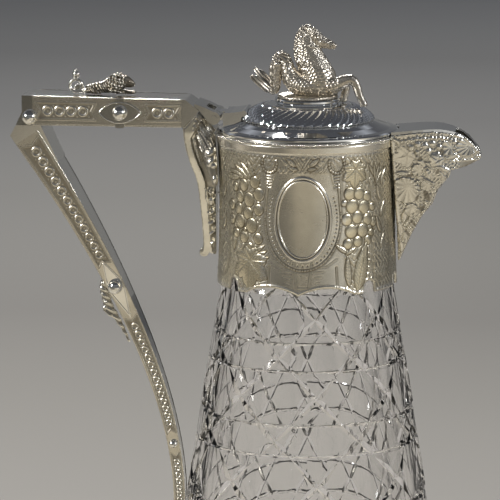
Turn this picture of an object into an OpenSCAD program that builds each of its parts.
// Claret jug: cut crystal body, silver collar, spout, angular handle and hinged lid.
// Millimetres. +Z is up, +X points to the spout, the handle is on -X.
// The origin is the centre of the flat underside that the jug stands on.

/* [Crystal body] */
// Radius of the body at its widest ring
foot_r = 58.5; // [54:0.5:62]
// Height of the widest ring
foot_h = 15; // [12:0.5:18]
// How far the flat underside lies inside the widest ring
foot_inset = 4.5; // [3:0.5:7]
// Thickness of the crystal wall
glass_wall = 4.5; // [3.8:0.1:5.2]
// Thickness of the crystal base
base_t = 12; // [9:0.5:15]
// How far the sides bow out from a straight taper
body_bulge = 0.9; // [0:0.1:1.5]
// Depth of the level mitre cuts between the bands
mitre_depth = 0.8; // [0.4:0.1:1.2]
// How far each cut band swells between its mitre cuts
band_swell = 0.35; // [0:0.05:0.6]
// Height of the tall band under the collar
first_band = 18.2; // [16:0.2:21]
// Height of the first short band
short_band = 10.6; // [9:0.2:12]
// Height of the first full tall band
tall_band = 20.4; // [18:0.2:23]
// Growth of each pair of bands over the pair above it
band_growth = 1.09; // [1:0.01:1.12]
// Number of lens cuts round each tall band
lens_count = 8; // [7:1:9]
// Turn of the first lens cut from the middle of the front towards the spout
lens_turn = -11.75; // [-22:0.25:22]
// Depth of the lens cuts
lens_depth = 1.5; // [1:0.1:1.8]
// Width of the plain rim above and below each lens cut
lens_rim = 0.5; // [0.3:0.1:0.9]
// Depth of the slanted mitre cuts where they cross
diagonal_depth = 0.35; // [0.2:0.05:0.6]
// Depth of the small upright flats in the short bands
flat_depth = 0.4; // [0.2:0.05:0.6]
// Wall of the neck inside the collar
neck_wall = 3.6; // [3:0.1:4.2]
// How far the mouth of the crystal lies below the rim
mouth_drop = 15; // [12:0.5:20]

/* [Collar] */
// Height of the rim that the lid closes on
rim_z = 243; // [236:1:250]
// Outer radius at the top and the foot of the collar
collar_r = 35; // [33:0.25:37]
// Height of the collar from its lowest lobe to the rim
collar_h = 59; // [54:1:63]
// Thickness of the sheet
collar_wall = 1; // [0.8:0.05:1.2]
// How far the waist of the collar draws in
collar_waist = 0.9; // [0.4:0.1:1.2]
// Thickness of the plaster bedding between crystal and collar
plaster_t = 1.6; // [1.2:0.1:2]
// Rise of the wide scallops in the lower edge
scallop_rise = 3; // [2:0.25:4]
// Angle across each wide scallop
scallop_angle = 36.6; // [32:0.5:40]
// Radius of the small notches in the lower edge
notch_r = 3; // [2:0.25:3.5]
// Angle of the first notches and of the second ones from the middle of the front
notch_angles = [49, 82];
// Height of the plain band under the rim
rim_band_h = 2.9; // [2:0.1:4]
// Thickness that the plain band adds
rim_band_t = 0.45; // [0.3:0.05:0.7]
// Radius of the beaded wire on the rim
bead_r = 0.5; // [0.4:0.05:0.6]

/* [Cartouche] */
// Width over the moulded frame
cartouche_w = 23.4; // [20:0.2:27]
// Height over the moulded frame
cartouche_h = 33.6; // [29:0.2:38]
// Width of the frame itself
cartouche_frame_w = 2.3; // [1.6:0.1:3]
// How far the frame stands off the collar
cartouche_t = 0.7; // [0.4:0.1:1]
// Distance from the rim to the middle of the cartouche
cartouche_drop = 29.2; // [27:0.1:31]
// Turn of the cartouche from the middle of the front towards the spout
cartouche_turn = 2.5; // [0:0.25:5]

/* [Spout] */
// Reach of the lip beyond the collar
spout_reach = 32.7; // [28:0.5:37]
// Width at the root
spout_w = 24.4; // [21:0.2:27]
// Depth of the root below the rim
spout_drop = 50; // [44:0.5:53]
// Thickness of the spout's wall
spout_wall = 1.3; // [1:0.05:1.6]
// Thickness of the plate that covers the spout
cover_t = 1; // [0.8:0.05:1.3]
// Length of the lip that the plate leaves open
lip_open = 10; // [7:0.5:13]

/* [Handle] */
// Distance from the axis to the outer corner of the bar
handle_reach = 110.7; // [104:0.5:118]
// Height of the bar
bar_h = 11.5; // [10:0.25:13]
// Depth of the bar, front to back
bar_depth = 19; // [16:0.5:21]
// Height of the underside of the bar above the rim
bar_lift = 2; // [1.6:0.1:2.6]
// Length of the pointed end of the bar
bar_point = 5.6; // [4.5:0.1:7]
// Width of the arm under the corner
arm_top_w = 10.3; // [9:0.1:11.5]
// Width of the arm at its lower end
arm_end_w = 4.3; // [3.8:0.1:5]
// Depth of the arm at its lower end
arm_end_depth = 6.7; // [5.8:0.1:8]
// Height at which the arm comes closest to the crystal
arm_waist_z = 95; // [92:0.5:100]
// Clearance of the arm from the crystal there
arm_clear = 0.5; // [0.4:0.1:1.5]
// Sideways run of the arm for each millimetre that it drops below the corner
arm_lean = 0.66; // [0.6:0.01:0.7]
// Depth of the sunk panels
panel_depth = 0.7; // [0.5:0.05:0.9]
// Width of the plain border round the panels of the bar
bar_border = 2.4; // [2:0.1:2.8]
// Width of the plain border round the panels of the arm
arm_border = 1.15; // [0.9:0.05:1.3]
// Breadth of the ringed rosettes on the bar
rosette_w = 4.1; // [3.6:0.1:4.6]
// Distance from the axis to the boss in the middle of the bar
clasp_out = 72.2; // [69:0.2:75]
// Thickness of the clasp plates
clasp_t = 0.5; // [0.4:0.05:0.7]
// Radius of the large ball bosses
boss_r = 2.9; // [2.4:0.1:3.3]
// Radius of the small ball bosses
small_boss_r = 1.7; // [1.4:0.1:1.9]

/* [Handle socket] */
// Height of the crystal lug that holds the foot of the handle
lug_z = 78; // [75:0.5:80]
// Radius of the lug
lug_r = 5; // [4.5:0.1:5.5]
// Thickness of the plaster round the lug
lug_plaster = 0.5; // [0.4:0.05:0.7]
// Thickness of the silver cup on the lug
socket_wall = 1.1; // [0.9:0.1:1.4]
// Length of the cup
socket_len = 7.4; // [6.6:0.2:9]

/* [Lid] */
// Gap between the rim and the brim of the lid
lid_gap = 0.3; // [0.2:0.05:0.4]
// Thickness of the lid
lid_t = 1; // [0.8:0.05:1.2]
// How far the brim stands beyond the collar
brim_over = 0.2; // [0:0.05:0.4]
// Thickness of the brim at its edge
brim_t = 1.4; // [1.2:0.05:1.7]
// Height of the lid's top plate above the brim
lid_rise = 10.6; // [9.5:0.1:12]
// Radius of the lid's top inside the swirled ring
dome_r = 17; // [16.5:0.1:18]
// Width of the swirled ring down the slope, seen from above
swirl_w = 9; // [8:0.1:9.4]
// Number of lobes on the swirled ring
swirl_count = 46; // [36:1:50]
// Depth of the inner bezel below the rim
bezel_h = 4.2; // [3:0.1:5.5]
// Thickness of the bezel
bezel_t = 1.2; // [0.9:0.05:1.4]
// Gap between the bezel and the collar
bezel_clear = 0.95; // [0.85:0.05:1.2]

/* [Hinge] */
// Height of the hinge pin above the rim
hinge_lift = 5.7; // [5.4:0.1:6.2]
// How far the pin lies outside the collar
hinge_out = 0.6; // [0.4:0.1:1]
// Radius of the knuckles
knuckle_r = 2.5; // [2.2:0.1:2.7]
// Radius of the pin
pin_r = 1.2; // [1:0.05:1.35]
// Width of the lid's knuckle
lid_knuckle_w = 7.8; // [6.5:0.1:9]
// Running clearance of the pin in the lid's knuckle
pin_clear = 0.05; // [0.03:0.01:0.09]
// Side clearance of the lid's knuckle
knuckle_gap = 0.3; // [0.2:0.05:0.4]
// Thickness of the lid's hinge leaf
leaf_t = 2.2; // [1.8:0.1:2.6]

/* [Finial] */
// Radius of the plinth under the figure
plinth_r = 12.8; // [11.5:0.1:13.4]
// Height of the plinth
plinth_h = 2.2; // [1.8:0.1:2.8]
// Thickness of the ground plate that the figure is cast with
ground_t = 0.9; // [0.6:0.1:1.2]
// Radius of the stud that holds the figure
stud_r = 1.8; // [1.4:0.1:2.1]
// Radius of the nut over its corners
nut_r = 3.8; // [3.4:0.1:4.2]
// Height of the nut
nut_h = 2.4; // [2:0.1:3]
// Thickness of the washer
washer_t = 0.5; // [0.4:0.1:0.8]

/* [Fits] */
// Gap that stands for the solder or plaster film between seated pieces
seat = 0.1; // [0.06:0.01:0.15]

/* [Hidden] */
$fn = 64;

silver = "Gainsboro";
bright = "WhiteSmoke";
crystal = [0.85, 0.88, 0.9, 0.55];
plaster = "Ivory";

// Crystal body
collar_foot_z = rim_z - collar_h;
collar_in_r = collar_r - collar_wall;
glass_top_r = collar_in_r - 0.45;
neck_r = collar_in_r - collar_waist - plaster_t;
mouth_z = rim_z - mouth_drop;
shoulder_h = 6;
lug_out = glass_r(lug_z) + 7;
socket_r = lug_r + lug_plaster + socket_wall;
socket_in = glass_r(lug_z - socket_r) + 0.5;
socket_out = socket_in + socket_len;

// Lid and hinge
brim_z = rim_z + lid_gap;
lid_r = collar_r + brim_over;
plate_z = brim_z + lid_rise;
ledge_z = brim_z + 4.5;
plate_r = 15.8;
bezel_r = collar_in_r - bezel_clear;
hinge_x = -(collar_r + hinge_out);
hinge_z = rim_z + hinge_lift;
pin_len = bar_depth + 0.8;
figure_z = plate_z + plinth_h + 2 * seat;

// Handle
bar_z = rim_z + bar_lift;
bar_top = bar_z + bar_h;
bar_end = hinge_x - bar_point;
// Slanted end of the bar, from its lower corner (0) to its point (1)
function bar_end_face(t) = [bar_end - 6 + 6 * t, bar_z + 0.57 * bar_h * t];
corner = [-handle_reach + 3.1, bar_z + 2.4];
arm_head = [-handle_reach + 1.2, bar_z - 4];
arm_drop = 46;
arm_waist = [-(glass_r(arm_waist_z) + arm_end_w / 2 + arm_clear), arm_waist_z];
arm_foot = [-(socket_in + socket_out) / 2, lug_z + socket_r];
knee_t = 0.41;
small_boss_t = 0.835;
panel_lift = 0.3;

// Spout
spout_tip = collar_r + spout_reach;

function unit(v) = v / norm(v);
function knot(p, i) = p[min(max(i, 0), len(p) - 1)];
function between(a, b, c, d, t) =
    b + 0.5 * t * ((c - a) + t * ((2 * a - 5 * b + 4 * c - d) + t * (3 * (b - c) + d - a)));
function smooth(p, n) = concat(
    [for (i = [0:len(p) - 2], j = [0:n - 1])
        between(knot(p, i - 1), knot(p, i), knot(p, i + 1), knot(p, i + 2), j / n)],
    [p[len(p) - 1]]);
function reversed(p) = [for (i = [len(p) - 1:-1:0]) p[i]];
function mirrored(p) = [for (q = reversed(p)) [-q[0], q[1]]];
function arc(c, r, a0, a1, n) = [for (i = [0:n]) let (a = a0 + (a1 - a0) * i / n) c + r * [cos(a), sin(a)]];

// Skin over stations [x, y, z, half width across, half depth]
module loft(stations, sides) {
    n = len(stations);
    skin = [for (i = [0:n - 1])
        let (s = stations[i], to = knot(stations, i + 1), from = knot(stations, i - 1))
        let (run = unit([to[0] - from[0], to[1] - from[1], to[2] - from[2]]))
        let (deep = unit(cross([0, 1, 0], run)), wide = cross(run, deep))
        for (k = [0:sides - 1])
            [s[0], s[1], s[2]] + s[3] * cos(360 * k / sides) * wide + s[4] * sin(360 * k / sides) * deep];
    near = [for (k = [sides - 1:-1:0]) k];
    far = [for (k = [0:sides - 1]) (n - 1) * sides + k];
    walls = [for (i = [0:n - 2], k = [0:sides - 1])
        let (a = i * sides + k, b = i * sides + (k + 1) % sides) [a, b, b + sides, a + sides]];
    polyhedron(points = skin, faces = concat([near], walls, [far]), convexity = 6);
}

// Extrudes an outline drawn in X and Z through the depth from -half to half
module through_y(half) {
    rotate([90, 0, 0]) translate([0, 0, -half]) linear_extrude(2 * half, convexity = 6) children();
}

// Extrudes an outline drawn in Y and Z from x0 to x1
module along_x(x0, x1) {
    translate([x0, 0, 0]) rotate([90, 0, 90]) linear_extrude(x1 - x0, convexity = 6) children();
}

module both_faces() {
    children();
    mirror([0, 1, 0]) children();
}

// Crystal body
function glass_r(z) =
    let (t = (collar_foot_z - z) / (collar_foot_z - foot_h))
    glass_top_r + (foot_r - glass_top_r) * t + body_bulge * sin(180 * t);

function band_heights(i) = (i % 2 == 0 ? short_band : tall_band) * pow(band_growth, floor(i / 2));
function bands(z, i) = z < foot_h + 6 ? [] : concat([z], bands(z - band_heights(i), i + 1));
mitres = bands(collar_foot_z - first_band, 0);

function mitre_points(z, below) = [
    [glass_r(z) - mitre_depth, z],
    [glass_r(z) + mitre_depth * 0.4, z - mitre_depth * 0.9],
    [glass_r((z + below) / 2) + band_swell, (z + below) / 2],
    [glass_r(below) + mitre_depth * 0.4, below + mitre_depth * 0.9]];

// Cuts on the sides: edges of the bands, their middle heights, and the lean of the side
band_edges = concat([collar_foot_z], mitres);
crossings = [for (j = [0:len(band_edges) - 2]) (band_edges[j] + band_edges[j + 1]) / 2];
function side_lean(z) = atan((glass_r(z - 4) - glass_r(z + 4)) / 8);

// Places a cutter on the side, sunk into it, at an angle from the middle of the front towards the spout
module on_side(turn, z, sink) {
    rotate([0, 0, turn - 90]) translate([glass_r(z), 0, z]) rotate([0, -side_lean(z), 0])
        translate([-sink, 0, 0]) children();
}

module ring_of_flats(turn, z, h, sink) {
    for (k = [0:lens_count - 1]) on_side(turn + 360 / lens_count * k, z, sink)
        translate([0, -15, -h / 2]) cube([8, 30, h]);
}

// Straight mitres that run round the body from one crossing to the next, leaning to one side.
// The four that meet at a crossing have depths of their own, so that each passes over or under the others.
cross_step = 0.06;
cross_run = 0.8;

module slanted_mitres(j, side) {
    z0 = j < 0 ? 2 * crossings[0] - crossings[1] : crossings[j];
    z = (z0 + crossings[j + 1]) / 2;
    half = 180 / lens_count;
    run = 2 * glass_r(z) * sin(half / 2);
    rise = (z0 - crossings[j + 1]) / cos(side_lean(z));
    over = (abs(j) % 2 == 0 ? 1 : 0) + (side > 0 ? 2 : 0);
    long = norm([run, rise]) + 2 * cross_run + 0.3 * side;
    sink = glass_r(z) * (1 - cos(half / 2)) + diagonal_depth + cross_step * over;
    for (k = [0:lens_count - 1]) on_side(lens_turn + half * (j + 1 + side / 2 + 2 * k), z, sink)
        rotate([side * atan(run / rise), 0, 0]) rotate([0, 0, -45])
            translate([0, 0, -long / 2]) cube([5, 5, long]);
}

module glass_cuts() {
    for (j = [0:len(crossings) - 1]) let (h = band_edges[j] - band_edges[j + 1])
        if (j % 2 == 0) ring_of_flats(lens_turn, crossings[j], h - 2 * lens_rim, lens_depth * pow(h / tall_band, 2));
        else ring_of_flats(lens_turn + 180 / lens_count, crossings[j], h + 3 * mitre_depth, flat_depth);
    for (j = [-1:len(crossings) - 2], side = [-1, 1]) slanted_mitres(j, side);
}

module glass_body() {
    outside = concat(
        [[neck_r - 1, mouth_z], [neck_r, mouth_z - 1], [neck_r, collar_foot_z + shoulder_h]],
        [[glass_top_r, collar_foot_z], [glass_r(mitres[0]), mitres[0] + mitre_depth]],
        [for (i = [0:len(mitres) - 1])
            for (p = mitre_points(mitres[i], i < len(mitres) - 1 ? mitres[i + 1] : foot_h - mitre_depth)) p],
        [for (a = [75:-15:0]) [foot_r - foot_inset * (1 - sin(a)), foot_h * (1 - cos(a))]]);
    floor_r = 12;
    wall_foot = base_t + floor_r;
    inside = concat(
        [[0, 0], [0, base_t]],
        arc([glass_r(wall_foot) - glass_wall - floor_r, wall_foot], floor_r, -90, 0, 5),
        [for (i = [1:4]) let (z = wall_foot + (collar_foot_z - wall_foot) * i / 4)
            [glass_r(z) - glass_wall, z]],
        [[neck_r - neck_wall, collar_foot_z + shoulder_h]],
        [[neck_r - neck_wall, mouth_z - 1], [neck_r - neck_wall + 1, mouth_z]]);
    color(crystal) {
        difference() {
            rotate_extrude($fn = 96) polygon(concat(inside, outside));
            glass_cuts();
        }
        lug_root = glass_r(lug_z) - glass_wall / 2;
        translate([-lug_root, 0, lug_z]) rotate([0, -90, 0]) cylinder(r = lug_r, h = lug_out - lug_root);
    }
}

module neck_plaster() {
    bed_foot = collar_foot_z + shoulder_h + 1;
    color(plaster) translate([0, 0, bed_foot]) difference() {
        cylinder(r = collar_in_r - collar_waist - seat, h = mouth_z - 1 - bed_foot);
        translate([0, 0, -1]) cylinder(r = neck_r + seat, h = collar_h);
    }
}

// Collar
function collar_curve(z) =
    let (u = (z - collar_foot_z) / collar_h * 2 - 1) collar_r - collar_waist * (1 - u * u);
band_top = rim_z - 2 * bead_r - 0.25;
band_foot = band_top - rim_band_h;
collar_steps = 8;

function collar_outline(gap) = concat(
    [for (i = [0:collar_steps])
        let (z = collar_foot_z + (band_foot - gap - collar_foot_z) * i / collar_steps)
        [collar_curve(z) + gap, z]],
    [[collar_r + rim_band_t + gap, band_foot - gap + 0.2], [collar_r + rim_band_t + gap, band_top + gap - 0.2],
     [collar_r + gap, band_top + gap], [collar_r + gap, rim_z]]);

// Everything inside the collar's outer face grown by a gap, up to a height
module collar_space(gap, top) {
    rotate_extrude($fn = 96)
        polygon(concat([[0, collar_foot_z]], collar_outline(gap), [[collar_r + gap, top], [0, top]]));
}

module edge_cut(angle, r, top) {
    rotate([0, 0, angle]) translate([0, -collar_r / 2, top - r]) rotate([90, 0, 0]) cylinder(r = r, h = collar_r);
}

module collar() {
    chord = collar_r * scallop_angle * PI / 180;
    wide_r = chord * chord / (8 * scallop_rise) + scallop_rise / 2;
    color(silver) difference() {
        rotate_extrude($fn = 96) polygon(concat(
            [for (p = reversed(collar_outline(0))) p],
            [for (i = [0:collar_steps]) let (z = collar_foot_z + collar_h * i / collar_steps)
                [collar_curve(z) - collar_wall, z]]));
        for (back = [0, 180], side = [-1, 1]) {
            edge_cut(back + side * scallop_angle / 2, wide_r, collar_foot_z + scallop_rise);
            for (a = notch_angles) edge_cut(back + side * a, notch_r, collar_foot_z + 1.6 * notch_r);
        }
        along_x(collar_r / 2, collar_r + 5) polygon(spout_front(spout_wall + 0.6, 0.7));
    }
}

module rim_beading() {
    color(bright) difference() {
        translate([0, 0, rim_z - bead_r - seat]) rotate_extrude($fn = 96)
            translate([collar_r + bead_r + seat, 0]) circle(r = bead_r, $fn = 16);
        translate([0, -spout_w / 2 - seat, collar_foot_z])
            cube([2 * collar_r, spout_w + 2 * seat, 2 * collar_h]);
        translate([-2 * collar_r, -bar_depth / 2 - seat, collar_foot_z])
            cube([2 * collar_r, bar_depth + 2 * seat, 2 * collar_h]);
    }
}

// Cartouche on the front and the back of the collar
module oval(w, h) {
    polygon([for (a = [0:10:350]) [w / 2 * cos(a), h / 2 * sin(a)]]);
}

module cartouche_frame() {
    color(bright) both_faces() intersection() {
        difference() {
            rotate_extrude($fn = 96) polygon(concat([[0, collar_foot_z]],
                collar_outline(seat + cartouche_t), [[0, rim_z]]));
            collar_space(seat, rim_z + 1);
        }
        rotate([0, 0, cartouche_turn]) translate([0, -collar_r / 2, rim_z - cartouche_drop])
            rotate([90, 0, 0]) linear_extrude(collar_r)
            difference() {
                oval(cartouche_w, cartouche_h);
                oval(cartouche_w - 2 * cartouche_frame_w, cartouche_h - 2 * cartouche_frame_w);
            }
    }
}

// Spout: outlines from the side, from the front and from above
function spout_top(sink) = [for (k = smooth([[-0.25, 1.2], [0, 1.8], [0.29, 2.7], [0.52, 2.8], [0.73, 1.1],
        [0.84, -1.2], [0.94, -4.6], [1, -8.3]], 3))
    [collar_r + k[0] * spout_reach, rim_z + k[1] - sink]];

function spout_keel(back, lift) = [for (k = [[0.985, -0.19], [0.82, -0.24], [0.62, -0.27], [0.585, -0.34],
        [0.48, -0.42], [0.41, -0.54], [0.285, -0.66], [0.18, -0.79], [0.04, -1], [-0.25, -1.06]])
    [collar_r + k[0] * spout_reach - back, rim_z + k[1] * spout_drop + lift]];

function spout_front(inset, low) =
    let (half = smooth([for (k = [[1.12, 1], [1.02, 1], [0.75, 0.79], [0.55, 0.61], [0.34, 0.42], [0.14, 0.2]])
            [max(k[1] * spout_w / 2 - inset, 0.4), rim_z + (k[0] - 1) * spout_drop]], 2),
        kept = [for (p = half) if (p[1] > rim_z - spout_drop * low) p])
    concat(kept, [[0.4, rim_z - spout_drop * low]], mirrored(concat(kept, [[0.4, rim_z - spout_drop * low]])));

function spout_plan(inset) =
    let (half = smooth([for (k = [[-0.6, 1], [0, 1], [0.2, 0.97], [0.45, 0.84], [0.65, 0.65], [0.8, 0.47],
            [0.92, 0.3], [1.01, 0.19]])
        [collar_r + k[0] * spout_reach, k[1] * spout_w / 2 - inset]], 2))
    concat(half, [for (p = reversed(half)) [p[0], -p[1]]]);

module spout_form(inset, side, low) {
    intersection() {
        through_y(spout_w) polygon(side);
        translate([0, 0, rim_z - 2 * spout_drop]) linear_extrude(3 * spout_drop) polygon(spout_plan(inset));
        along_x(0, 2 * spout_tip) polygon(spout_front(inset, low));
    }
}

cover_edge = lid_r + 0.4;

module cover_slab(sink, gap) {
    intersection() {
        through_y(spout_w) polygon(concat(spout_top(-0.2 * gap),
            reversed(spout_top(sink))));
        translate([0, -spout_w, rim_z - spout_drop])
            cube([spout_tip - lip_open + gap, 2 * spout_w, 2 * spout_drop]);
    }
}

module spout_body() {
    channel = concat([[0, rim_z + 9], [spout_tip + 3, rim_z + 9], [spout_tip + 3, rim_z - 0.155 * spout_drop]],
        spout_keel(1, 1.3), [[0, rim_z - spout_drop]]);
    color(silver) difference() {
        spout_form(0, concat(spout_top(0), spout_keel(0, 0)), 1.02);
        spout_form(spout_wall, channel, 0.85);
        cover_slab(cover_t + seat, seat);
        collar_space(seat, rim_z + 0.01);
        cylinder(r = cover_edge, h = 2 * rim_z);
    }
}

module spout_cover() {
    color(bright) difference() {
        intersection() {
            cover_slab(cover_t, 0);
            translate([0, 0, rim_z - spout_drop]) linear_extrude(2 * spout_drop) polygon(spout_plan(0));
        }
        cylinder(r = cover_edge, h = 2 * rim_z);
    }
}

// Bracket between the handle and the collar: a spine under the end of the bar, and a beast's head on each side
// that ends below in a beaded stem and a scroll
bracket_drop = 52;
bracket_top = bar_end_face(0.88) + [0.08, -0.08];

module collar_bracket() {
    silhouette = smooth([[-12.8, 1.9], [-12.5, -1], [-11.8, -6], [-9.9, -12.5], [-7.4, -20], [-6, -34], [-5.5, -44],
        [-5.7, -bracket_drop + 4]], 3);
    outer = [for (p = silhouette) [p[0] - collar_r, rim_z + p[1]]];
    inner = [for (i = [len(outer) - 1:-1:0]) outer[i] + [2.4 + 1.6 * i / len(outer), 0]];
    front = [for (p = [[9.2, 12], [9.2, 0], [8.6, -10], [7, -20], [5, -34], [3.6, -46], [2.9, -bracket_drop - 2]])
        [p[0], rim_z + p[1]]];
    stem = [for (p = [[6.4, 12], [6.4, -4], [5.6, -20], [3.4, -27], [2.8, -bracket_drop]]) [p[0], rim_z + p[1]]];
    crown = [[bar_end - 6 + 0.04, bar_z - seat], bracket_top];
    color(silver) difference() {
        union() {
            intersection() {
                through_y(bar_depth) polygon(concat(outer, [for (p = inner) if (p[1] < rim_z - 2) p],
                    [bracket_top + [2, -2.2], bracket_top], [crown[0], [outer[0][0], bar_z - seat]]));
                along_x(-2 * collar_r, 0) polygon(concat(front, mirrored(front)));
            }
            intersection() {
                through_y(bar_depth) polygon(concat([for (p = outer) if (p[1] < bar_z - 1) p + [0.5, 0]],
                    [[-collar_r, rim_z - bracket_drop + 3], [-collar_r + 4, rim_z - bracket_drop + 6],
                     [-collar_r + 4, bracket_top[1] - 10.8], bracket_top], [crown[0] + [0, -0.5]]));
                along_x(-2 * collar_r, 0) polygon(concat(stem, mirrored(stem)));
            }
            translate([-collar_r - 5.2, 0, rim_z - bracket_drop + 4]) rotate([90, 0, 0])
                cylinder(r = 1.9, h = 6.4, center = true, $fn = 32);
            both_faces() translate([-collar_r, 0, rim_z]) {
                loft(smooth([[-6.6, -6.2, 4.2, 1.6, 2], [-5, -6.8, -1, 2.2, 3], [-2.9, -7.8, -6.5, 2.8, 3.3],
                    [-1.3, -9, -11.5, 2.9, 3.1], [-0.4, -10, -15.5, 2.2, 2.3], [0, -10.4, -18.6, 1.6, 1.6],
                    [0.2, -10.6, -20.4, 0.9, 0.9]], 2), 12);
                for (k = [0:5]) translate([-2.4 + 0.1 * k, -3.9 + 0.25 * k, -23.5 - 4 * k])
                    sphere(r = 1.9 - 0.12 * k, $fn = 20);
            }
        }
        collar_space(seat, rim_z + 0.01);
        cylinder(r = lid_r + 0.45, h = 2 * rim_z);
        translate([0, 0, rim_z - 1.4]) cylinder(r = collar_r + 2 * bead_r + 2 * seat, h = 2);
        through_y(bar_depth) polygon([[-3 * collar_r, bar_z - seat], crown[0], bracket_top, [0, bracket_top[1] - 41.2],
            [0, 2 * rim_z], [-3 * collar_r, 2 * rim_z]]);
    }
}

// Hinge
slot_x = hinge_x - 3.4;

module hinge_base() {
    point = bar_end_face(1);
    color(silver) difference() {
        through_y(bar_depth / 2) union() {
            polygon([[hinge_x, hinge_z + knuckle_r], [hinge_x - 3.4, hinge_z + knuckle_r + 1.6], point + [-1.9, 2.7],
                point + [-1.84, 1.55], point + [seat, 0.06], point + [seat, -0.1],
                [hinge_x - 0.7 * knuckle_r, hinge_z - 0.7 * knuckle_r], [hinge_x, hinge_z - 1]]);
            translate([hinge_x, hinge_z]) circle(r = knuckle_r);
        }
        translate([slot_x, -lid_knuckle_w / 2 - knuckle_gap, rim_z])
            cube([3 * knuckle_r, lid_knuckle_w + 2 * knuckle_gap, bar_h]);
        translate([0, 0, rim_z - 1]) cylinder(r = lid_r + 0.45, h = brim_t + lid_gap + 1.8);
        translate([hinge_x, 0, hinge_z]) rotate([90, 0, 0])
            cylinder(r = pin_r + 0.02, h = 2 * bar_depth, center = true);
    }
}

module hinge_pin() {
    color(bright) translate([hinge_x, 0, hinge_z]) rotate([90, 0, 0])
        cylinder(r = pin_r, h = pin_len, center = true);
}

// Handle bar
bar_left = [corner[0] + boss_r + 0.8, -clasp_out - 9.3];
bar_right = [-clasp_out + 9.9, bar_end - 8];

bar_fall = 0.8;
bar_slope = atan(bar_fall / (handle_reach + bar_end - 5.4));

module bar_outline() {
    polygon([[-handle_reach, bar_top], [bar_end - 5.4, bar_top - bar_fall], bar_end_face(1), bar_end_face(0),
        [-handle_reach - 2.4, bar_z], [-handle_reach, bar_z + 5]]);
}

module panel_outline(span, inset) {
    x0 = span[0] + inset;
    x1 = span[1] - inset;
    z0 = bar_z + bar_border + inset;
    z1 = bar_top - bar_border - 0.6 - inset;
    mid = (z0 + z1) / 2;
    polygon([[x0, z0], [x1, z0], [x1 - 1.6, mid], [x1, z1], [x0, z1], [x0 + 1.6, mid]]);
}

module handle_bar() {
    color(silver) difference() {
        through_y(bar_depth / 2) bar_outline();
        both_faces() translate([0, -bar_depth / 2 + panel_depth, 0]) rotate([90, 0, 0]) linear_extrude(2)
            for (span = [bar_left, bar_right]) panel_outline(span, 0);
    }
}

// Ringed rosette of radius r standing on a panel
module rosette(r, rise) {
    rotate_extrude($fn = 24) polygon([[0, -0.1], [r, -0.1], [r, 0], [0.92 * r, rise], [0.72 * r, rise],
        [0.62 * r, 0.3 * rise], [0.42 * r, 0.3 * rise], [0.3 * r, rise], [0, 1.15 * rise]]);
}

module bar_panels() {
    z0 = bar_z + bar_border;
    z1 = bar_top - bar_border - 0.6;
    r = rosette_w / 2 - 0.05;
    floor_y = bar_depth / 2 - panel_depth + 0.02;
    color(bright) both_faces() translate([0, -floor_y, 0]) rotate([90, 0, 0]) for (span = [bar_left, bar_right]) {
        linear_extrude(panel_lift) panel_outline(span, 0.15);
        length = span[1] - span[0] - 3.6;
        count = floor(length / rosette_w + 0.1);
        for (i = [0:count - 1]) translate([span[0] + 1.8 + length * (i + 0.5) / count, (z0 + z1) / 2, panel_lift])
            rosette(r, 0.45);
    }
}

// Clasp round the middle of the bar: an eye-shaped plate on each face, joined under the bar
module eye(w, h) {
    r = (w * w + h * h) / (4 * h);
    intersection() {
        translate([0, r - h / 2]) circle(r = r);
        translate([0, h / 2 - r]) circle(r = r);
    }
}

module bar_clasp() {
    strap = 3.4;
    lap = 0.6;
    color(bright) {
        both_faces() translate([-clasp_out, -bar_depth / 2 - seat, 0]) rotate([90, 0, 0]) linear_extrude(clasp_t)
            union() {
                translate([0, bar_z + bar_h / 2 - 0.4]) eye(16.5, bar_h - 3);
                translate([-strap / 2, bar_z - seat - clasp_t]) square([strap, bar_h + clasp_t - lap]);
            }
        translate([-clasp_out - strap / 2, -bar_depth / 2 - seat - clasp_t, bar_z - seat - clasp_t])
            cube([strap, bar_depth + 2 * seat + 2 * clasp_t, clasp_t]);
    }
}

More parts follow.
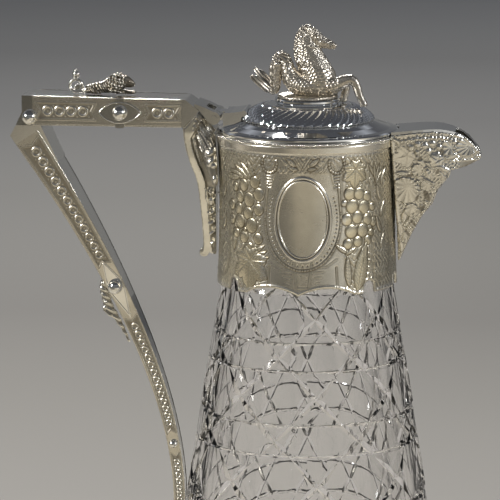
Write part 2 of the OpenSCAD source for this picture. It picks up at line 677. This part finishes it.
// Recumbent lion on the bar, its tail coiled into a ring with a ball on it
module bar_lion() {
    ring_r = 2.4;
    tail = [-clasp_out - 18.6, 0, 3.1];
    body = smooth([[-15.8, 0, 1, 0.8, 0.8], [-14.2, 0, 1.7, 1.7, 1.6], [-11, 0, 2.1, 1.8, 1.7],
        [-8, 0, 2.4, 1.8, 1.9], [-5.2, 0, 3.1, 2.2, 2.8], [-2.6, 0, 4.4, 2.4, 3.2], [0, 0, 5.2, 2.2, 2.9],
        [1.8, 0, 4.9, 1.6, 2.2], [3.6, 0, 4.2, 1.1, 1.4], [4.5, 0, 4, 0.5, 0.6]], 2);
    color(silver) translate([-handle_reach, 0, bar_top + seat]) rotate([0, bar_slope, 0])
    translate([handle_reach, 0, 0]) {
        translate([-clasp_out, 0, 0]) {
            loft(body, 12);
            both_faces() {
                loft([[-4.5, -1.7, 2.6, 0.8, 1.2], [-2, -1.7, 1.2, 0.8, 0.8], [3.8, -1.4, 1, 0.8, 0.5],
                    [4.8, -1.3, 1, 0.6, 0.4]], 8);
                loft([[-13, -1.7, 2.2, 0.7, 1.3], [-11.5, -1.9, 1, 0.8, 0.8], [-8.4, -1.8, 0.8, 0.7, 0.5]], 8);
                translate([-1.2, -1.7, 7.4]) sphere(r = 0.7, $fn = 16);
            }
            loft([[-15.4, 0, 1, 0.6, 0.6], [-17.2, 0, 0.9, 0.6, 0.6], [-18.2, 0, 0.9, 0.6, 0.6]], 8);
        }
        translate(tail) rotate([90, 0, 0]) rotate_extrude($fn = 32) translate([ring_r, 0]) circle(r = 0.65, $fn = 12);
        translate(tail + [0, 0, ring_r + 2]) sphere(r = 1.5, $fn = 20);
        translate(tail + [0, 0, ring_r + 3.6]) sphere(r = 0.75, $fn = 16);
        translate(tail + [0.6, 0, -0.6]) rotate([90, 0, 0]) cylinder(r = 1.3, h = 1, center = true, $fn = 20);
        translate(tail + [0.3, 0, -1.6]) rotate([90, 0, 0]) cylinder(r = 0.8, h = 0.9, center = true, $fn = 16);
    }
}

// Handle arm: its centre line, width and depth
function bezier(a, b, c, d, t) =
    let (s = 1 - t) s * s * s * a + 3 * s * s * t * b + 3 * s * t * t * c + t * t * t * d;
function arm_point(t) = t <= 1
    ? bezier(arm_head, arm_head + arm_drop * [arm_lean, -1], arm_waist + [0, 45], arm_waist, t)
    : let (fall = arm_waist_z - arm_foot[1])
      bezier(arm_waist, arm_waist - [0, 0.5 * fall], arm_foot + [0.4, 0.45 * fall], arm_foot, t - 1);
function arm_run(t) = unit(arm_point(min(t + 0.01, 2)) - arm_point(max(t - 0.01, 0)));
function arm_side(t) = let (r = arm_run(t)) [-r[1], r[0]];
function arm_half(t) = (arm_end_w + (arm_top_w - arm_end_w) * pow(max(1 - t, 0), 1.6)) / 2;
function strip(t0, t1, inset, n) =
    let (steps = [for (i = [0:n]) t0 + (t1 - t0) * i / n])
    concat([for (t = steps) arm_point(t) + (arm_half(t) - inset) * arm_side(t)],
        [for (t = reversed(steps)) arm_point(t) - (arm_half(t) - inset) * arm_side(t)]);

arm_depths = [[-1, 0], [0.267, 0], [0.533, 0.27], [0.667, 0.51], [0.807, 0.76], [1, 1]];
function arm_z(f) = arm_waist_z + f * (bar_z - arm_waist_z);
function half_depth(g) = arm_end_depth / 2 + g * (bar_depth - arm_end_depth) / 2;
function face_y(z) = half_depth(lookup((z - arm_waist_z) / (bar_z - arm_waist_z), arm_depths));
function face_tilt(z) = atan((face_y(z + 1) - face_y(z - 1)) / 2);

// Two slabs that follow the tapering faces of the arm, from low to high off the face
module face_slabs(low, high) {
    outer = [for (d = arm_depths) [half_depth(d[1]) + high, arm_z(d[0])]];
    inner = [for (d = reversed(arm_depths)) [half_depth(d[1]) + low, arm_z(d[0])]];
    both_faces() along_x(-handle_reach - 9, -20) polygon(concat(outer, inner));
}

module arm_core(shrink) {
    side = [for (d = arm_depths) [half_depth(d[1]) - shrink, arm_z(d[0])]];
    along_x(-handle_reach - 9, -20) polygon(concat(side, mirrored(side)));
}

panel_spans = [[0.05, knee_t - 0.075], [knee_t + 0.085, small_boss_t - 0.03], [small_boss_t + 0.03, 1.45]];

module handle_arm() {
    top = bar_z - seat;
    color(silver) difference() {
        intersection() {
            through_y(bar_depth) union() {
                polygon(strip(0, 1, 0, 20));
                polygon(strip(0.98, 2, 0, 10));
                polygon([[-handle_reach - 2.4, top], [-handle_reach + 7.3, top], arm_point(0.09) + [4.6, 2.4],
                    arm_point(0.1), arm_point(0.06) + [-4.6, -2.3], [-handle_reach - 4.8, bar_z - 4.4]]);
            }
            arm_core(0);
        }
        intersection() {
            through_y(bar_depth) for (span = panel_spans) polygon(strip(span[0], span[1], arm_border, 9));
            face_slabs(-panel_depth, 2);
        }
        translate([0, 0, lug_z]) rotate([0, -90, 0]) cylinder(r = socket_r + seat, h = 2 * foot_r);
    }
}

// Places along the arm a rosette's breadth apart
function rosette_r(t) = arm_half(t) - arm_border - 0.35;
function chain(t, last) =
    let (step = 2.15 * rosette_r(t) / norm(arm_point(t + 0.01) - arm_point(t)) * 0.01)
    t > last ? [] : concat([t], chain(t + step, last));

module arm_panels() {
    low = -panel_depth + 0.02;
    color(bright) {
        intersection() {
            through_y(bar_depth) for (span = panel_spans) polygon(strip(span[0] + 0.002, span[1] - 0.002,
                arm_border + 0.12, 9));
            face_slabs(low, low + panel_lift);
        }
        for (span = panel_spans, t = chain(span[0] + 0.025, span[1] - 0.02)) {
            p = arm_point(t);
            both_faces() translate([p[0], -face_y(p[1]) + panel_depth - 0.02 - panel_lift, p[1]])
                rotate([90 + face_tilt(p[1]), 0, 0])
                difference() {
                    translate([0, 0, -0.15]) cylinder(r = rosette_r(t), h = 0.6, $fn = 32);
                    translate([0, 0, 0.15]) cylinder(r = 0.55 * rosette_r(t), h = 1, $fn = 32);
                }
        }
    }
}

module arm_clasp() {
    color(bright) intersection() {
        through_y(bar_depth) for (t = [knee_t])
            polygon([arm_point(t - 0.07),
                arm_point(t - 0.012) + 3.1 * arm_side(t), arm_point(t + 0.015) + 3.1 * arm_side(t),
                arm_point(t + 0.085),
                arm_point(t + 0.015) - 3.1 * arm_side(t), arm_point(t - 0.012) - 3.1 * arm_side(t)]);
        face_slabs(seat, seat + clasp_t);
    }
}

// Hanging creature on the outer side of the arm under the knee
module arm_ornament() {
    perch = arm_point(knee_t + 0.035) + (arm_half(knee_t) + 0.2) * [-0.9, -0.45];
    body = smooth([[-3.2, 0, 8.6, 0.9, 0.9], [-4.6, 0, 7.4, 1.5, 1.6], [-4.8, 0, 4.6, 1.7, 1.7], [-3.9, 0, 1, 1.8, 1.8],
        [-2.8, 0, -2.6, 1.8, 1.9], [-1.2, 0, -5, 1.6, 1.6], [1, 0, -8, 1.2, 1.1], [3.2, 0, -12, 0.9, 0.7],
        [5.2, 0, -16.4, 0.5, 0.4]], 2);
    color(silver) difference() {
        translate([perch[0], 0, perch[1]]) {
            loft(body, 12);
            translate([-3.6, 0, 8.4]) sphere(r = 1.5, $fn = 20);
            both_faces() loft([[-3.4, -1.2, 0, 0.8, 1], [-4.4, -1.6, -3.4, 0.8, 0.8], [-1.8, -1.7, -5.6, 0.6, 0.6]], 8);
            loft([[-3.4, 0, 3, 1.2, 1.2], [0, 0, 2, 1.2, 1.2], [2.6, 0, 1.2, 1, 1]], 8);
        }
        through_y(bar_depth) polygon(strip(0, 1, -seat, 20));
    }
}

// Ball boss of radius r on a face
module boss(r) {
    intersection() {
        translate([0, 0, 0.35 * r]) sphere(r = r, $fn = 32);
        cylinder(r = 2 * r, h = 2 * r);
    }
}

module arm_boss(t, r, off) {
    p = arm_point(t);
    translate([p[0], -face_y(p[1]), p[1]]) rotate([90 + face_tilt(p[1]), 0, 0]) translate([0, 0, off]) boss(r);
}

module ball_bosses() {
    on_plate = 2 * seat + clasp_t;
    color(bright) both_faces() {
        translate([corner[0], -bar_depth / 2 - seat, corner[1] + 0.8]) rotate([90, 0, 0]) boss(boss_r);
        translate([-clasp_out, -bar_depth / 2 - on_plate, bar_z + bar_h / 2 - 0.4]) rotate([90, 0, 0]) boss(boss_r);
        arm_boss(knee_t, boss_r, on_plate);
        arm_boss(small_boss_t, small_boss_r, seat);
    }
}

// Cup on the crystal lug at the foot of the handle
module handle_socket() {
    bore = lug_r + lug_plaster + seat;
    color(silver) translate([-socket_in, 0, lug_z]) rotate([0, -90, 0]) {
        difference() {
            union() {
                cylinder(r = socket_r, h = socket_len);
                cylinder(r = socket_r + 0.5, h = 1.2);
            }
            translate([0, 0, -1]) cylinder(r = bore, h = lug_out - socket_in + 1 + seat);
        }
        translate([0, 0, socket_len - 0.1]) intersection() {
            sphere(r = 2.6, $fn = 32);
            cylinder(r = 4, h = 4);
        }
    }
}

module socket_plaster() {
    color(plaster) translate([-socket_in - 0.1, 0, lug_z]) rotate([0, -90, 0]) difference() {
        cylinder(r = lug_r + lug_plaster, h = lug_out - socket_in - 0.3);
        translate([0, 0, -1]) cylinder(r = lug_r + 0.05, h = 2 * socket_len);
    }
}

// Lid. A point of the swirled ring, across its width and up its height
function swirl_place(s) = [dome_r + swirl_w * s[0], ledge_z + (plate_z - ledge_z) * s[1]];
function lid_outline(gap) = [
    [0, plate_z + gap], [plate_r, plate_z + gap], [dome_r + gap, plate_z - 0.3 + gap],
    swirl_place([0.05, 0.87]) + [gap, 0], swirl_place([0.92, 0.05]) + [gap, gap],
    swirl_place([1, -0.05]) + [gap, gap],
    [lid_r - 6.5, brim_z + brim_t + 1.5 + gap], [lid_r - 3, brim_z + brim_t + 0.3 + gap],
    [lid_r - 0.6 + gap, brim_z + brim_t + gap], [lid_r + gap, brim_z + brim_t - 0.5],
    [lid_r + gap, brim_z + 0.4 - gap], [lid_r - 0.4 + gap, brim_z - gap]];

module lid_shell() {
    hollow = [[bezel_r - bezel_t, brim_z], [bezel_r - bezel_t, brim_z + brim_t - lid_t + 0.3],
        [lid_r - 6.5, brim_z + brim_t + 1.4 - lid_t], swirl_place([1, -0.05]) - [0.3, lid_t],
        swirl_place([0.92, 0.05]) - [0.4, lid_t], swirl_place([0.05, 0.87]) - [0.6, lid_t],
        [dome_r - 1.2, plate_z - 0.3 - lid_t], [plate_r - 0.8, plate_z - lid_t]];
    color(bright) rotate_extrude($fn = 96) polygon(concat(
        [[stud_r + 0.15, plate_z]], [for (i = [1:11]) lid_outline(0)[i]], hollow, [[stud_r + 0.15, plate_z - lid_t]]));
}

module lid_bezel() {
    color(silver) rotate_extrude($fn = 96) polygon([
        [bezel_r - bezel_t, brim_z], [bezel_r - bezel_t, rim_z - bezel_h], [bezel_r - 0.4, rim_z - bezel_h],
        [bezel_r, rim_z - bezel_h + 1], [bezel_r, brim_z]]);
}

// Swirled ring: a section carried round the lid, its lobes slanting as they climb
swirl_section = [[0.07, 0.885], [0.935, 0.07], [1, 0.03], [0.97, 0.14], [0.86, 0.33], [0.69, 0.52], [0.49, 0.69],
    [0.28, 0.835], [0.1, 0.94]];
swirl_turn = 22;
lobe_h = 0.3;

module gadroon_ring() {
    steps = 4 * swirl_count;
    m = len(swirl_section);
    skin = [for (i = [0:steps - 1], k = [0:m - 1])
        let (a = 360 * i / steps, s = swirl_section[k], p = swirl_place(s))
        let (lobe = k < 3 || k == m - 1 ? 0 : lobe_h * cos(swirl_count * (a - swirl_turn * s[1])))
        [(p[0] + 0.55 * lobe) * cos(a), (p[0] + 0.55 * lobe) * sin(a), p[1] + 0.83 * lobe]];
    skin_faces = [for (i = [0:steps - 1], k = [0:m - 1])
        let (j = (i + 1) % steps, l = (k + 1) % m)
        each [[i * m + k, i * m + l, j * m + l], [i * m + k, j * m + l, j * m + k]]];
    color(bright) polyhedron(points = skin, faces = skin_faces, convexity = 4);
}

// Everything of the lid grown by a gap, as cut from the hinge leaf
module lid_space(gap) {
    rotate_extrude($fn = 96) polygon(concat(lid_outline(gap), [[0, brim_z - gap]]));
    rotate_extrude($fn = 96) polygon(concat([[0, ledge_z - 1]], [[0, plate_z]],
        [for (k = [len(swirl_section) - 1:-1:2]) swirl_place(swirl_section[k]) + (lobe_h + gap) * [0.55, 0.83]],
        [[dome_r + swirl_w, ledge_z - 1]]));
}

module lid_hinge() {
    back = hinge_x + 3.4;
    front = hinge_x + 11.8;
    half = bar_depth / 2 - 0.2;
    color(bright) difference() {
        union() {
            through_y(lid_knuckle_w / 2) union() {
                translate([hinge_x, hinge_z]) circle(r = knuckle_r);
                polygon([[hinge_x, hinge_z - 1.5], [back + 1, hinge_z - 1.5], [back + 1, hinge_z + 2],
                    [hinge_x + 1, hinge_z + 2]]);
            }
            through_y(half) polygon([[back, hinge_z + 1.6], [back + 0.6, hinge_z + 2.1], [back + 3, hinge_z + 2.2], [front, hinge_z + 2.9],
                [front, hinge_z + 0.9], [back + 3, hinge_z + 2.1 - leaf_t], [back, hinge_z - 0.6]]);
            through_y(half) translate([front, hinge_z + 1.9]) circle(r = 1.2, $fn = 24);
            through_y(half - 2) polygon([[back, hinge_z], [front - 1, hinge_z + 0.9], [front - 2, brim_z],
                [back, brim_z]]);
        }
        lid_space(seat);
        translate([hinge_x, 0, hinge_z]) rotate([90, 0, 0])
            cylinder(r = pin_r + pin_clear, h = 2 * bar_depth, center = true);
    }
}

// Finial
module finial_plinth() {
    r = plinth_r;
    h = plinth_h;
    color(bright) translate([0, 0, plate_z + seat]) rotate_extrude($fn = 64) polygon([
        [stud_r + 0.15, 0], [r - 0.8, 0], [r - 0.8, 0.2 * h], [r - 0.2, 0.3 * h], [r, 0.5 * h], [r, 0.8 * h],
        [r - 0.3, h], [stud_r + 0.15, h]]);
}

// Sea horse: horse's forepart, scaly body, tail arched over the back and ending in a fluke
module finial_horse() {
    neck = smooth([[-0.5, 0, 26, 1.9, 2.4], [-0.7, 0, 23.4, 2.5, 3.6], [-0.2, 0, 19.6, 3.2, 4.6], [1.2, 0, 15, 4, 5.5],
        [3.3, 0, 10.6, 4.8, 6.2], [4.6, 0, 6.4, 5, 6.6], [5.6, 0, 2.6, 4.2, 6.2], [5.7, 0, 1.2, 3.4, 5.6]], 2);
    body = smooth([[7, 0, 4.3, 3.6, 3.3], [4, 0, 4.3, 4.8, 4], [0, 0, 4.5, 5, 4.2], [-3.4, 0, 5.2, 4.6, 4.2],
        [-6.2, 0, 7.4, 3.7, 3.6], [-7.6, 0, 10.4, 2.9, 2.8], [-8, 0, 13.4, 2.4, 2.3], [-9, 0, 15.6, 2, 1.9],
        [-10.2, 0, 16.4, 1.6, 1.4]], 2);
    tail = smooth([[-8.7, 0, 16.6, 1.6, 1.2], [-10.4, 0, 16, 1.8, 1.8], [-11.6, 0, 13.6, 1.8, 1.9],
        [-12, 0, 10.6, 1.7, 1.8], [-12.1, 0, 7, 1.5, 1.6], [-12.4, 0, 3.6, 1.3, 1.4], [-13.2, 0, 1.5, 1.1, 1.1]], 2);
    head = smooth([[-1.4, 0, 26.2, 1.5, 1.7], [0.8, 0, 25.2, 2.1, 2.8], [3.2, 0, 22.4, 2.2, 3.3], [5.6, 0, 21.5, 1.9, 2.5],
        [8, 0, 20.8, 1.5, 1.9], [9.9, 0, 20.1, 1.3, 1.5], [11, 0, 19.7, 0.8, 0.8]], 2);
    near_leg = smooth([[8, -2.8, 4.8, 2.2, 3.2], [11.4, -3.2, 5.4, 1.9, 2.6], [14.4, -3.3, 6.7, 1.6, 2],
        [17.2, -3.3, 7.5, 1.4, 1.6], [19, -3.3, 5.6, 1.1, 1.3], [20, -3.3, 2.6, 0.9, 1.1], [21.2, -3.3, -0.4, 0.8, 0.9],
        [22, -3.3, -1.6, 1, 1], [22.2, -3.3, -2.4, 1.1, 1.1]], 2);
    far_leg = smooth([[7, 2.6, 5, 2, 2.8], [11.4, 3, 5, 1.6, 2], [14.4, 3.1, 4.2, 1.2, 1.4],
        [14.4, 3.1, 1.8, 0.9, 1.1], [13.8, 3.1, -0.4, 0.9, 1], [13.9, 3.1, -1.7, 1.1, 1.1]], 2);
    mane = smooth([[1.2, 0, 28, 0.4, 0.5], [-1.6, 0, 26.8, 0.8, 1.2], [-3.5, 0, 23.4, 0.9, 1.4], [-4.2, 0, 19.6, 0.9, 1.4],
        [-3.9, 0, 15.4, 0.9, 1.4], [-2.8, 0, 12, 0.8, 1.2], [-1.4, 0, 9.8, 0.5, 0.6]], 2);
    fin = smooth([[-9.6, 0, 17.8, 0.3, 0.4], [-12, 0, 16.6, 0.4, 0.8], [-13.5, 0, 13, 0.4, 0.9],
        [-13.8, 0, 8, 0.4, 0.8], [-13.9, 0, 4, 0.3, 0.4]], 2);
    lobe = [[-12.8, 0, 1.6, 0.9, 1.1], [-15.5, -0.8, 3.2, 1.2, 1.7], [-18.4, -1.6, 5.6, 1.4, 1.9],
        [-20.6, -2.2, 7.4, 0.9, 1.3], [-22.2, -2.5, 8.4, 0.2, 0.3]];
    color(silver) translate([0, 0, figure_z]) {
        cylinder(r = plinth_r - 1.2, h = ground_t, $fn = 48);
        loft(neck, 14);
        loft(body, 14);
        loft(tail, 10);
        loft(head, 12);
        loft(near_leg, 10);
        loft(far_leg, 10);
        loft(mane, 8);
        loft(fin, 8);
        loft(smooth(lobe, 2), 8);
        mirror([0, 1, 0]) rotate([0, 6, 0]) loft(smooth(lobe, 2), 8);
        both_faces() loft([[0, -1.1, 26.6, 0.6, 0.6], [-0.4, -1.4, 28, 0.45, 0.5], [-0.4, -1.5, 28.6, 0.15, 0.15]], 8);
    }
}

module finial_stud() {
    nut_foot = plate_z - lid_t - washer_t - nut_h - 3 * seat;
    color("silver") translate([0, 0, nut_foot - 1]) cylinder(r = stud_r, h = figure_z - nut_foot + 1, $fn = 32);
}

module finial_washer() {
    color("silver") translate([0, 0, plate_z - lid_t - washer_t - seat]) difference() {
        cylinder(r = nut_r + 1, h = washer_t);
        translate([0, 0, -1]) cylinder(r = stud_r + 0.15, h = 2 * nut_h);
    }
}

module finial_nut() {
    color("silver") translate([0, 0, plate_z - lid_t - washer_t - nut_h - 2 * seat]) difference() {
        cylinder(r = nut_r, h = nut_h, $fn = 6);
        translate([0, 0, -1]) cylinder(r = stud_r + 0.05, h = 2 * nut_h, $fn = 32);
    }
}

glass_body();
neck_plaster();
collar();
rim_beading();
cartouche_frame();
spout_body();
spout_cover();
collar_bracket();
hinge_base();
hinge_pin();
handle_bar();
bar_panels();
bar_clasp();
bar_lion();
handle_arm();
arm_panels();
arm_clasp();
arm_ornament();
ball_bosses();
handle_socket();
socket_plaster();
lid_shell();
lid_bezel();
gadroon_ring();
lid_hinge();
finial_plinth();
finial_horse();
finial_stud();
finial_washer();
finial_nut();
